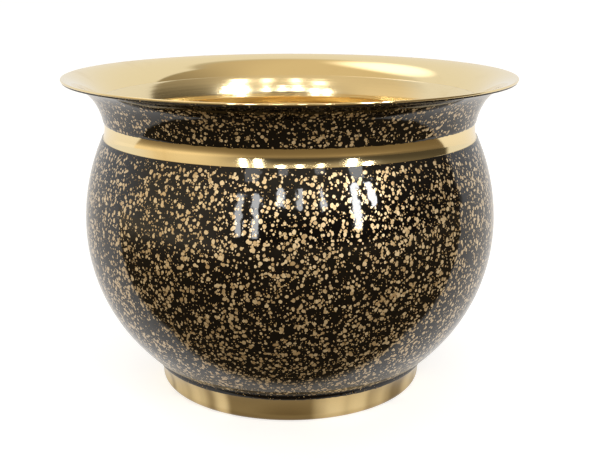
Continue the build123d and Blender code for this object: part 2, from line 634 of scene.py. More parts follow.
class TurningTrees:
    """Geometry Nodes trees: one turns an outline, and one scatters paint drops over a turned face."""

    TURN_INPUTS = {"Outline": "Geometry", "Segments": "Int", "Ragged Seed": "Float"}
    MESH = {"Mesh": "Geometry"}
    MERGE_DISTANCE = 0.002 * MM
    PIECE_CORNER = 35.0
    DROP_CORNER = 85.0
    DROP_SHAPES = 6
    DROP_SINK = (0.0, 0.0, -0.05)
    DROP_STRETCH = (0.92, 1.2)
    RIM_WIDTH = (0.9, 1.1)
    SMALL_BIAS = 1.4
    PATCH_SCALE = 95.0
    PATCH_DENSITY = (0.6, 1.4)
    WANDER_SCALE = 38.0
    WANDER_GAIN = 4.0

    def __init__(self) -> None:
        """Builds the shared turning group and the two trees that use it."""
        self.turn = self.make_turn()
        self.piece = self.make_piece()
        self.spatter = self.make_spatter()

    def make_turn(self) -> Tree:
        """Makes the group that turns an outline's points about the Z axis into a closed band of faces.

        Returns:
            The node group, with the outline, the number of segments and a seed for ragged edges as inputs.
        """
        sheet, given = new_group("Turn about axis", "Geometry", self.TURN_INPUTS, self.MESH)
        outline = given["Outline"]
        rows = sheet.add("GeometryNodeAttributeDomainSize", {"Geometry": outline}).outputs["Point Count"]
        columns = sheet.sum("ADD", given["Segments"], 1)
        grid = sheet.add("GeometryNodeMeshGrid", {"Vertices X": rows, "Vertices Y": columns})
        index = sheet.add("GeometryNodeInputIndex").outputs[0]
        row = sheet.sum("FLOOR", sheet.sum("DIVIDE", sheet.sum("ADD", index, 0.5), columns))
        column = sheet.sum("SUBTRACT", index, sheet.sum("MULTIPLY", row, columns))
        angle = sheet.sum("MULTIPLY", column, sheet.sum("DIVIDE", 2 * math.pi, given["Segments"]))

        position = sheet.add("GeometryNodeInputPosition").outputs[0]
        place = self.on_outline(sheet, outline, position, row)
        stored = sheet.add("GeometryNodeInputNamedAttribute", {"Name": "drift"}, data_type="FLOAT_VECTOR")
        drift = self.on_outline(sheet, outline, stored.outputs["Attribute"], row)
        wander = self.wander(sheet, angle, given["Ragged Seed"])
        moved = sheet.vector("MULTIPLY_ADD", drift, wander, place)
        spot = sheet.add("ShaderNodeVectorRotate", {"Vector": moved, "Angle": angle}, rotation_type="Z_AXIS")
        band = sheet.shape("SetPosition", grid.outputs["Mesh"], {"Position": spot.outputs["Vector"]})
        merged = sheet.shape("MergeByDistance", band, {"Distance": self.MERGE_DISTANCE})
        sheet.add("NodeGroupOutput", {"Mesh": merged})
        return sheet.tree

    @staticmethod
    def on_outline(sheet: Sheet, outline: Socket, value: Socket, row: Socket) -> Socket:
        """Reads a vector of the outline's point for each row.

        Args:
            sheet: tree to add to.
            outline: the outline's geometry.
            value: field to read on it.
            row: number of the point.

        Returns:
            The read vector's socket.
        """
        inputs = {"Value": value, "Index": row}
        return sheet.shape("SampleIndex", outline, inputs, data_type="FLOAT_VECTOR", domain="POINT")

    def wander(self, sheet: Sheet, angle: Socket, seed: Socket) -> Socket:
        """Makes a number from about -1 to 1 that wanders round the axis and meets itself.

        Args:
            sheet: tree to add to.
            angle: place round the axis.
            seed: shifts the pattern.

        Returns:
            The number's socket.
        """
        circle = sheet.join(sheet.sum("COSINE", angle), sheet.sum("SINE", angle), seed)
        noise = sheet.noise(Vector=circle, Scale=self.WANDER_SCALE, Detail=4.0)
        return sheet.sum("MULTIPLY", sheet.sum("SUBTRACT", noise, 0.5), self.WANDER_GAIN)

    def place_turn(self, sheet: Sheet, given: Sockets) -> Socket:
        """Places the turning group, fed by the tree's own inputs, and gives the turned mesh."""
        inputs = {name: given[name] for name in self.TURN_INPUTS}
        return sheet.add("GeometryNodeGroup", inputs, node_tree=self.turn).outputs["Mesh"]

    @staticmethod
    def smooth(sheet: Sheet, mesh: Socket, corner: float) -> Socket:
        """Shades a mesh smooth except along sharp corners.

        Args:
            sheet: tree to add to.
            mesh: the mesh's socket.
            corner: angle in degrees from which an edge is sharp.

        Returns:
            The shaded mesh's socket.
        """
        angle = sheet.add("GeometryNodeInputMeshEdgeAngle").outputs["Unsigned Angle"]
        soft = sheet.sum("LESS_THAN", angle, math.radians(corner))
        faces = sheet.shape("SetShadeSmooth", mesh, {"Shade Smooth": True}, domain="FACE")
        return sheet.shape("SetShadeSmooth", faces, {"Shade Smooth": soft}, domain="EDGE")

    @staticmethod
    def finish(sheet: Sheet, geometry: Socket, material: Socket) -> Tree:
        """Ends a tree: instances become a mesh, and the mesh gets its material.

        Args:
            sheet: tree to end.
            geometry: what it has made.
            material: material of the mesh.

        Returns:
            The finished tree.
        """
        real = sheet.shape("RealizeInstances", geometry, {})
        sheet.add("NodeGroupOutput", {"Mesh": sheet.shape("SetMaterial", real, {"Material": material})})
        return sheet.tree

    def make_piece(self) -> Tree:
        """Makes the tree of a turned piece.

        Returns:
            The node tree.
        """
        inputs = self.TURN_INPUTS | {"Material": "Material"}
        sheet, given = new_group("Turned piece", "Geometry", inputs, self.MESH)
        mesh = self.smooth(sheet, self.place_turn(sheet, given), self.PIECE_CORNER)
        return self.finish(sheet, mesh, given["Material"])

    def make_spatter(self) -> Tree:
        """Makes the tree of the paint drops on a turned face, thick in some patches and thin in others.

        Returns:
            The node tree.
        """
        own_inputs = {
            "Drops per m2": "Float",
            "Smallest Radius": "Float",
            "Largest Radius": "Float",
            "Thickness": "Float",
            "Rim Points": "Int",
            "Seed": "Int",
            "Material": "Material",
        }
        sheet, given = new_group("Paint spatter", "Geometry", self.TURN_INPUTS | own_inputs, self.MESH)
        patch = sheet.noise(Scale=self.PATCH_SCALE, Detail=2.0)
        crowding = sheet.span(patch, 0.3, 0.7, *self.PATCH_DENSITY)
        density = sheet.sum("MULTIPLY", given["Drops per m2"], crowding)
        face = {"Mesh": self.place_turn(sheet, given), "Density": density, "Seed": given["Seed"]}
        spots = sheet.add("GeometryNodeDistributePointsOnFaces", face).outputs
        shape = self.chance(sheet, given, Choice.SHAPE, 0.0, self.DROP_SHAPES - 0.01)
        drops = sheet.add(
            "GeometryNodeInstanceOnPoints",
            {
                "Points": spots["Points"],
                "Instance": self.drop_shapes(sheet, given["Rim Points"]),
                "Pick Instance": True,
                "Instance Index": sheet.sum("FLOOR", shape),
                "Rotation": self.upright(sheet, spots["Normal"]),
                "Scale": self.drop_size(sheet, given),
            },
        )
        tone = {"Name": "tone", "Value": self.chance(sheet, given, Choice.TONE, 0.0, 1.0)}
        toned = sheet.shape(
            "StoreNamedAttribute", drops.outputs[0], tone, data_type="FLOAT", domain="INSTANCE"
        )
        return self.finish(sheet, toned, given["Material"])

    @staticmethod
    def upright(sheet: Sheet, normal: Socket) -> Socket:
        """Lays a drop flat on the face with its long side upright.

        Args:
            sheet: tree to add to.
            normal: the face's normal.

        Returns:
            The rotation's socket.
        """
        align = "FunctionNodeAlignRotationToVector"
        flat = sheet.add(align, {"Vector": normal}, axis="Z", pivot_axis="AUTO").outputs[0]
        up = {"Rotation": flat, "Vector": (0.0, 0.0, 1.0)}
        return sheet.add(align, up, axis="Y", pivot_axis="Z").outputs[0]

    @staticmethod
    def chance(sheet: Sheet, given: Sockets, choice: Choice, low: float, high: float) -> Socket:
        """Makes a random number for each drop.

        Args:
            sheet: tree to add to.
            given: the tree's inputs.
            choice: what the number is for.
            low: least number.
            high: greatest number.

        Returns:
            The number's socket.
        """
        return sheet.random(sheet.sum("ADD", given["Seed"], choice.value), low, high)

    def drop_size(self, sheet: Sheet, given: Sockets) -> Socket:
        """Makes each drop's scale: many small drops, few large ones, most a little taller than wide.

        Args:
            sheet: tree to add to.
            given: the tree's inputs.

        Returns:
            The scale vector's socket.
        """
        share = sheet.sum("POWER", self.chance(sheet, given, Choice.SIZE, 0.0, 1.0), self.SMALL_BIAS)
        reach = sheet.sum("SUBTRACT", given["Largest Radius"], given["Smallest Radius"])
        radius = sheet.sum("MULTIPLY_ADD", share, reach, given["Smallest Radius"])
        stretch = self.chance(sheet, given, Choice.STRETCH, *self.DROP_STRETCH)
        tall = sheet.sum("MULTIPLY", radius, stretch)
        wide = sheet.sum("DIVIDE", radius, stretch)
        return sheet.join(wide, tall, given["Thickness"])

    def drop_shapes(self, sheet: Sheet, points: Socket) -> Socket:
        """Makes a few low, nearly round drops of radius one, their rims sunk below the surface.

        Args:
            sheet: tree to add to.
            points: number of points round a drop's rim.

        Returns:
            Socket of the drops, each as an instance of its own.
        """
        joined = sheet.add("GeometryNodeJoinGeometry")
        place = sheet.add("GeometryNodeInputPosition").outputs[0]
        for seed in range(self.DROP_SHAPES):
            cone = sheet.add("GeometryNodeMeshCone", {"Vertices": points, "Radius Top": 0.0, "Depth": 1.0})
            width = sheet.random(seed, *self.RIM_WIDTH)
            spread = sheet.vector("MULTIPLY_ADD", place, sheet.join(width, width, 1.0), self.DROP_SINK)
            bent = sheet.shape("SetPosition", cone.outputs["Mesh"], {"Position": spread})
            single = sheet.shape("GeometryToInstance", self.smooth(sheet, bent, self.DROP_CORNER), {})
            sheet.feed(joined, {0: single})
        return joined.outputs[0]


def run_tree(name: str, outline: Outline, tree: Tree, values: dict[str, Any]) -> bpy.types.Object:
    """Runs a Geometry Nodes tree on an outline and keeps the result as a plain mesh.

    Args:
        name: name of the new piece.
        outline: line that the tree turns.
        tree: the tree to run.
        values: input name of the tree, with its value.

    Returns:
        The new piece's object, at the origin and without modifiers.
    """
    source = new_object(name + "_outline", outline.line_mesh(name + "_outline"))
    modifier = source.modifiers.new("turn", "NODES")
    modifier.node_group = tree
    for item in tree.interface.items_tree:
        if item.in_out == "INPUT" and item.name in values:
            modifier[item.identifier] = values[item.name]
    evaluated = source.evaluated_get(bpy.context.evaluated_depsgraph_get())
    mesh = bpy.data.meshes.new_from_object(evaluated)
    mesh.name = name
    bpy.data.objects.remove(source)
    return new_object(name, mesh)


def hand_in(piece: bpy.types.Object, slot: Slot, *nodes: str) -> None:
    """Attaches a finished piece to the body's empty, hides the CAD nodes that it stands for, and logs it.

    Args:
        piece: the piece's object.
        slot: not used.
        nodes: CAD nodes that it stands for.
    """
    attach(piece, BODY)
    if nodes:
        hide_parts(*nodes)
    log.info("%s: %d faces", piece.name, len(piece.data.polygons))


class Effects:
    """Shader node groups that more than one finish uses, or that one finish uses with its own values."""

    RING_DRIFT = 0.4 * MM
    STREAK_SCALE = 0.09
    BARE_LEVEL = 0.78
    COVER_REACH = 0.5
    SMUDGE_FADE = 0.24
    SPECK_LEAST = 0.14
    SPECK_GROWTH = 0.24
    SPECK_FADE = 0.03

    def __init__(self) -> None:
        """Builds the groups once."""
        self.turning = self.make_turning()
        self.handling = self.make_handling()
        self.specks = self.make_specks()

    def make_turning(self) -> Tree:
        """Makes the fine rings that spinning and polishing leave round the axis.

        Returns:
            The group, with the ring height and a broad streak as outputs.
        """
        outputs = {"Height": "Float", "Streak": "Float"}
        sheet, given = new_group("Turning marks", "Shader", {"Marks per m": "Float"}, outputs)
        place = sheet.place()
        axes = sheet.split(place)
        reach = sheet.vector("LENGTH", sheet.join(axes["X"], axes["Y"], 0.0))
        drift = sheet.sum("MULTIPLY", sheet.noise(Vector=place, Scale=14.0, Detail=1.0), self.RING_DRIFT)
        rings = sheet.join(reach, axes["Z"], drift)
        fine = sheet.noise(Vector=rings, Scale=given["Marks per m"], Detail=3.0, Roughness=0.65)
        coarse = sheet.sum("MULTIPLY", given["Marks per m"], self.STREAK_SCALE)
        broad = sheet.noise(Vector=rings, Scale=coarse, Detail=2.0)
        sheet.add("NodeGroupOutput", {"Height": fine, "Streak": broad})
        return sheet.tree

    def make_handling(self) -> Tree:
        """Makes soft smudges and dull patches from handling and age.

        Returns:
            The group, with the smudges as a mask.
        """
        inputs = {"Patches per m": "Float", "Cover": "Float"}
        sheet, given = new_group("Handling", "Shader", inputs, {"Mask": "Float"})
        patches = sheet.noise(
            Vector=sheet.place(), Scale=given["Patches per m"], Detail=5.0, Roughness=0.6, Distortion=0.6
        )
        lowered = sheet.sum("MULTIPLY", given["Cover"], self.COVER_REACH)
        start = sheet.sum("SUBTRACT", self.BARE_LEVEL, lowered)
        mask = sheet.span(patches, start, sheet.sum("ADD", start, self.SMUDGE_FADE))
        sheet.add("NodeGroupOutput", {"Mask": mask})
        return sheet.tree

    def make_specks(self) -> Tree:
        """Makes fine round specks of paint, between the drops that are modelled.

        Returns:
            The group, with the specks as a mask and a random tone for each speck.
        """
        inputs = {"Specks per m": "Float", "Share": "Float"}
        sheet, given = new_group("Fine specks", "Shader", inputs, {"Mask": "Float", "Tone": "Float"})
        grid = {"Vector": sheet.place(), "Scale": given["Specks per m"]}
        cells = sheet.add("ShaderNodeTexVoronoi", grid).outputs
        random = sheet.add("ShaderNodeSeparateColor", {0: cells["Color"]}).outputs
        shown = sheet.sum("LESS_THAN", random[0], given["Share"])
        radius = sheet.sum("MULTIPLY_ADD", random[1], self.SPECK_GROWTH, self.SPECK_LEAST)
        depth = sheet.sum("SUBTRACT", radius, cells["Distance"])
        inside = sheet.span(depth, -self.SPECK_FADE, self.SPECK_FADE)
        sheet.add("NodeGroupOutput", {"Mask": sheet.sum("MULTIPLY", inside, shown), "Tone": random[2]})
        return sheet.tree

    def smudges(self, sheet: Sheet, patches_per_m: float, cover: float) -> Socket:
        """Places the smudges in a material and gives their mask."""
        return sheet.group(self.handling, {"Patches per m": patches_per_m, "Cover": cover})["Mask"]


def start_material(name: str) -> tuple[Material, Sheet, Node]:
    """Starts a material with one Principled BSDF.

    Args:
        name: name of the material.

    Returns:
        The material, a sheet for its nodes, and the shader node.
    """
    material = bpy.data.materials.new(name)
    sheet = blank_sheet(material)
    shader = sheet.add("ShaderNodeBsdfPrincipled")
    sheet.add("ShaderNodeOutputMaterial", {"Surface": shader.outputs[0]})
    return material, sheet, shader


@dataclass(frozen=True)
class BrassFinish:
    """Spun brass, polished on the lathe, with dull smudges and, on a ring, dark upright bands of painted
    reflection.
    """

    name: str
    bright: Colour = (0.90, 0.73, 0.41, 1.0)
    aged: Colour = (0.66, 0.45, 0.17, 1.0)
    age_share: float = 0.35
    smooth: float = 0.07
    dull: float = 0.17
    wear: Range = (0.1, 0.8)
    streak_wear: float = 0.5
    smudge_wear: float = 0.5
    patches_per_m: float = 24.0
    patch_cover: float = 0.45
    marks_per_m: float = 2600.0
    mark_strength: float = 0.35
    mark_depth: float = 0.012 * MM
    ridge_depth: float = 0.0
    # Upright dark bands on a ring: painted reflections of the room, put into the brass's colour
    reflection_band_share: float = 0.0
    reflection_band_colour: Colour = (0.17, 0.105, 0.03, 1.0)
    reflection_band_seed: float = 0.0
    reflection_band_scale: float = 3.4
    reflection_band_edge: Range = (0.38, 0.62)

    def make(self, effects: Effects) -> Material:
        """Builds the material.

        Args:
            effects: the shared shader groups.

        Returns:
            The material.
        """
        material, sheet, shader = start_material(self.name)
        marks = sheet.group(effects.turning, {"Marks per m": self.marks_per_m})
        smudge = effects.smudges(sheet, self.patches_per_m, self.patch_cover)
        colour = sheet.blend(sheet.sum("MULTIPLY", smudge, self.age_share), self.bright, self.aged)
        # Painted reflection: dark upright bands mixed into the colour round the ring
        if self.reflection_band_share > 0:
            colour = sheet.blend(self.reflection_bands(sheet), colour, self.reflection_band_colour)
        streak = sheet.sum("MULTIPLY", marks["Streak"], self.streak_wear)
        worn = sheet.sum("MULTIPLY_ADD", smudge, self.smudge_wear, streak)
        normal = sheet.bump(marks["Height"], self.mark_strength, self.mark_depth)
        if self.ridge_depth > 0:
            ridges = {"Height": marks["Streak"], "Distance": self.ridge_depth, "Normal": normal}
            normal = sheet.add("ShaderNodeBump", ridges).outputs[0]
        rough = sheet.span(worn, *self.wear, self.smooth, self.dull)
        sheet.feed(shader, {"Base Color": colour, "Roughness": rough, "Normal": normal, "Metallic": 1.0})
        return material

    def reflection_bands(self, sheet: Sheet) -> Socket:
        """Makes upright bands of darker colour round a ring: painted reflections of the dark room.

        Args:
            sheet: material to add to.

        Returns:
            Socket of the bands' mask.
        """
        shifted = sheet.vector("ADD", sheet.flat_way(sheet.place()), (0.0, 0.0, self.reflection_band_seed))
        reflection_bands = sheet.noise(Vector=shifted, Scale=self.reflection_band_scale, Detail=2.0)
        return sheet.span(reflection_bands, *self.reflection_band_edge, 0.0, self.reflection_band_share)


@dataclass(frozen=True)
class SolderFinish:
    """Soft solder as it ran: dull, with a wavy skin."""

    name: str = "soft_solder"
    pale: Colour = (0.78, 0.70, 0.50, 1.0)
    dark: Colour = (0.50, 0.42, 0.27, 1.0)
    patches_per_m: float = 160.0
    patch_cover: float = 0.6
    waves_per_m: float = 420.0
    wave_depth: float = 0.15 * MM
    wave_strength: float = 0.5
    smooth: float = 0.28
    dull: float = 0.5

    def make(self, effects: Effects) -> Material:
        """Builds the material.

        Args:
            effects: the shared shader groups.

        Returns:
            The material.
        """
        material, sheet, shader = start_material(self.name)
        smudge = effects.smudges(sheet, self.patches_per_m, self.patch_cover)
        skin = sheet.noise(Vector=sheet.place(), Scale=self.waves_per_m, Detail=3.0)
        colour = sheet.blend(smudge, self.pale, self.dark)
        rough = sheet.span(skin, 0.3, 0.7, self.smooth, self.dull)
        normal = sheet.bump(skin, self.wave_strength, self.wave_depth)
        sheet.feed(shader, {"Base Color": colour, "Roughness": rough, "Normal": normal, "Metallic": 1.0})
        return material


@dataclass(frozen=True)
class EnamelFinish:
    """Glossy black enamel with fine gold specks in it."""

    name: str = "black_enamel"
    speck_share: float = 0.22
    specks_per_m: float = 1300.0
    black: Colour = (0.003, 0.002, 0.0016, 1.0)
    gold_deep: Colour = (0.42, 0.25, 0.09, 1.0)
    gold_pale: Colour = (0.66, 0.46, 0.21, 1.0)
    gloss: float = 0.05
    smudge_dull: float = 0.08
    patches_per_m: float = 30.0
    patch_cover: float = 0.3
    sags_per_m: float = 75.0
    sag_depth: float = 0.3 * MM
    sag_strength: float = 0.6
    mirror_level: float = 0.42

    def make(self, effects: Effects) -> Material:
        """Builds the material.

        Args:
            effects: the shared shader groups.

        Returns:
            The material.
        """
        material, sheet, shader = start_material(self.name)
        specks = sheet.group(effects.specks, {"Specks per m": self.specks_per_m, "Share": self.speck_share})
        smudge = effects.smudges(sheet, self.patches_per_m, self.patch_cover)
        gold = sheet.blend(specks["Tone"], self.gold_deep, self.gold_pale)
        sag = sheet.noise(Vector=sheet.place(), Scale=self.sags_per_m, Detail=3.0)
        colour = sheet.blend(specks["Mask"], self.black, gold)
        rough = sheet.sum("MULTIPLY_ADD", smudge, self.smudge_dull, self.gloss)
        normal = sheet.bump(sag, self.sag_strength, self.sag_depth)
        sheet.feed(shader, {"Base Color": colour, "Roughness": rough, "Normal": normal})
        sheet.feed(shader, {"Specular IOR Level": self.mirror_level})
        return material


@dataclass(frozen=True)
class GoldFinish:
    """Gold paint of the drops under clear lacquer, no two drops quite alike."""

    name: str = "gold_paint"
    deep: Colour = (0.52, 0.34, 0.15, 1.0)
    pale: Colour = (0.86, 0.68, 0.41, 1.0)
    tone_share: float = 0.8
    least_pale: float = 0.15
    smudge_share: float = 0.3
    grain: float = 0.38
    grain_spread: float = 0.1
    metal: float = 0.62
    lacquer_rough: float = 0.05
    patches_per_m: float = 900.0
    patch_cover: float = 0.5

    def make(self, effects: Effects) -> Material:
        """Builds the material.

        Args:
            effects: the shared shader groups.

        Returns:
            The material.
        """
        material, sheet, shader = start_material(self.name)
        tone = sheet.add("ShaderNodeAttribute", attribute_name="tone").outputs["Fac"]
        smudge = effects.smudges(sheet, self.patches_per_m, self.patch_cover)
        clean = sheet.sum("MULTIPLY_ADD", tone, self.tone_share, self.least_pale)
        share = sheet.sum("MULTIPLY_ADD", smudge, -self.smudge_share, clean)
        colour = sheet.blend(share, self.deep, self.pale)
        rough = sheet.sum("MULTIPLY_ADD", tone, self.grain_spread, self.grain)
        sheet.feed(shader, {"Base Color": colour, "Roughness": rough, "Metallic": self.metal})
        sheet.feed(shader, {"Coat Weight": 1.0, "Coat Roughness": self.lacquer_rough})
        return material


@dataclass
class TurnedWork:
    """Pieces that are turned from outlines of the same form."""

    form: PotForm
    trees: TurningTrees
    segments: int = 480

    def turn(
        self, name: str, outline: Outline, material: Material, slot: Slot, node: str, seed: float = 0.0
    ) -> None:
        """Turns one piece and attaches it to the body.

        Args:
            name: name of the piece.
            outline: its closed outline.
            material: its finish.
            slot: the record's slot that the finish belongs to.
            node: CAD node that it stands for.
            seed: pattern of its ragged edge, where it has one.
        """
        values = {"Segments": self.segments, "Ragged Seed": seed, "Material": material}
        hand_in(run_tree(name, outline, self.trees.piece, values), slot, node)


@dataclass
class BrassBody(TurnedWork):
    """The three pieces of sheet brass: bowl, collar and foot ring."""

    segments: int = 320
    floor_bend: float = 14.0 * MM
    rim_round: float = 0.35 * MM
    edge_round: float = 0.3 * MM
    toe_pitch: float = 0.4 * MM
    foot_pitch: float = 0.8 * MM

    def build(self, effects: Effects) -> None:
        """Builds and dresses the three pieces.

        Args:
            effects: the shared shader groups.
        """
        satin = BrassFinish(
            "satin_brass", bright=(0.89, 0.74, 0.45, 1.0), smooth=0.14, dull=0.24, ridge_depth=0.2 * MM
        )
        buffed = BrassFinish("spun_brass")
        # The foot ring's dark bands are painted reflections of the room, not a real polish
        reflection_banded = BrassFinish("foot_brass", bright=(0.86, 0.68, 0.36, 1.0), reflection_band_share=0.85, reflection_band_seed=24.0)
        self.turn("bowl", self.bowl(), satin.make(effects), Slot.BRASS, "belly_bowl")
        self.turn("collar", self.collar(), buffed.make(effects), Slot.BRASS, "flared_collar")
        self.turn("foot", self.foot(), reflection_banded.make(effects), Slot.BRASS, "foot_ring")

    def bowl(self) -> Outline:
        """Draws the bowl: up the inside from the floor's middle, over the rolled neck, down the outside.

        Returns:
            The outline, which starts and ends on the axis.
        """
        f = self.form
        inner_floor = f.floor_height + f.sheet
        roll_end = f.roll_angle - self.edge_round / f.neck_curve
        ledge_under = f.seat_height - f.sheet
        line = Outline().to(Vector((0, inner_floor)))
        self.floor_turn(line, f.flank_curve - f.sheet, inner_floor, self.floor_bend - f.sheet)
        line.arc(f.flank_centre, Vector((f.belly_radius - f.sheet, f.equator_height)))
        line.arc(f.shoulder_centre, beyond(f.shoulder_centre, f.shoulder_curve - f.sheet, ledge_under))
        line.to(f.neck_foot(f.roll_inset + f.sheet, ledge_under))
        f.climb_neck(line, f.roll_inset + f.sheet, roll_end)
        line.edge(f.neck_end(f.roll_inset, roll_end), self.edge_round)
        f.descend_neck(line, f.roll_inset, f.seat_height)
        line.to(Vector((f.seat_radius, f.seat_height)))
        line.arc(f.shoulder_centre, Vector((f.belly_radius, f.equator_height)))
        under = Outline().to(Vector((0, f.floor_height)))
        self.floor_turn(under, f.flank_curve, f.floor_height, self.floor_bend)
        line.arc(f.flank_centre, under.points[-1])
        return line.to(*reversed(under.points[:-1]))

    def floor_turn(self, line: Outline, wall: float, height: float, bend: float) -> None:
        """Runs from the axis along the floor and round the bend into the flank.

        Args:
            line: outline to go on with.
            wall: radius of the flank's face about its centre.
            height: height of the floor's face.
            bend: radius of the bend between them.
        """
        f = self.form
        centre = beyond(f.flank_centre, wall - bend, height + bend)
        line.to(Vector((centre.x / 2, height)), Vector((centre.x, height)))
        line.arc(centre, centre + (centre - f.flank_centre).normalized() * bend)

    def collar(self) -> Outline:
        """Draws the collar: up the inside from the ledge, round the rim, and down the outside.

        Returns:
            The closed outline.
        """
        f = self.form
        edge = f.rim_radius - self.rim_round
        line = Outline().to(f.neck_foot(f.sheet, f.seat_height))
        f.climb_neck(line, f.sheet, f.lip_angle)
        line.arc(f.lip_centre, above(f.lip_centre, f.lip_upper_curve, edge), FINE_PITCH)
        line.edge(f.lip_under(edge), self.rim_round)
        line.arc(f.lip_centre, f.neck_end(0, f.lip_angle), FINE_PITCH)
        f.descend_neck(line, 0, f.seat_height)
        return line.closed()

    def foot(self) -> Outline:
        """Draws the foot ring: out along the hem, up the inside, over the top edge, down the outside.

        Returns:
            The closed outline.
        """
        f = self.form
        hem = f.toe_centre.x - f.foot_hem
        top = f.foot_angle - self.edge_round / f.foot_curve
        line = Outline().to(Vector((hem, f.foot_sheet)), Vector((f.toe_centre.x, f.foot_sheet)))
        line.arc(f.toe_centre, Vector((f.waist_radius - f.foot_sheet, f.foot_toe)), self.toe_pitch)
        line.arc(f.foot_centre, f.foot_end(f.foot_sheet, top), self.foot_pitch)
        line.edge(f.foot_end(0, top), self.edge_round)
        line.arc(f.foot_centre, Vector((f.waist_radius, f.foot_toe)), self.foot_pitch)
        line.arc(f.toe_centre, Vector((f.toe_centre.x, 0)), self.toe_pitch)
        return line.to(Vector((hem, 0))).closed()


@dataclass
class SolderJoints(TurnedWork):
    """The solder of the neck, which shows as an uneven line inside the mouth, and of the foot."""

    bead: float = 0.2 * MM
    seed: float = 4.0

    # Places on the bead, and how far each may wander, as shares of its size
    crown_height: float = 0.8
    crown_step: float = 0.7
    tail_step: float = 1.6
    side_drift: float = 0.5
    crown_drift: float = 0.9
    tail_drift: float = 0.35

    def build(self, effects: Effects) -> None:
        """Builds the neck's seam and dresses the foot's bead.

        Args:
            effects: the shared shader groups.
        """
        material = SolderFinish().make(effects)
        self.turn("neck_seam", self.seam(), material, Slot.SOLDER, "neck_solder", self.seed)
        bead = frame["nodes"]["foot_solder"]
        bead.data.materials.clear()
        bead.data.materials.append(material)
        log.info("%s: dressed as it is", bead.name)

    def seam(self) -> Outline:
        """Draws the thin sleeve between collar and bowl, with a bead over the rolled neck's edge.

        Returns:
            The closed outline, whose bead is ragged.
        """
        f = self.form
        step = self.bead / f.neck_curve
        line = Outline().to(f.neck_foot(f.roll_inset, f.seat_height))
        f.climb_neck(line, f.roll_inset, f.roll_angle)
        root = line.points[-1]
        crown = f.neck_end(f.sheet + self.bead * self.crown_height, f.roll_angle + step * self.crown_step)
        tail = f.neck_end(f.sheet, f.roll_angle + step * self.tail_step)
        side = f.neck_end(f.roll_inset + self.bead, f.roll_angle)
        line.to(side, drift=(crown - root) * self.side_drift)
        line.to(crown, drift=(crown - root) * self.crown_drift)
        line.to(tail, drift=(tail - root) * self.tail_drift)
        f.descend_neck(line, f.sheet, f.seat_height)
        return line.closed()


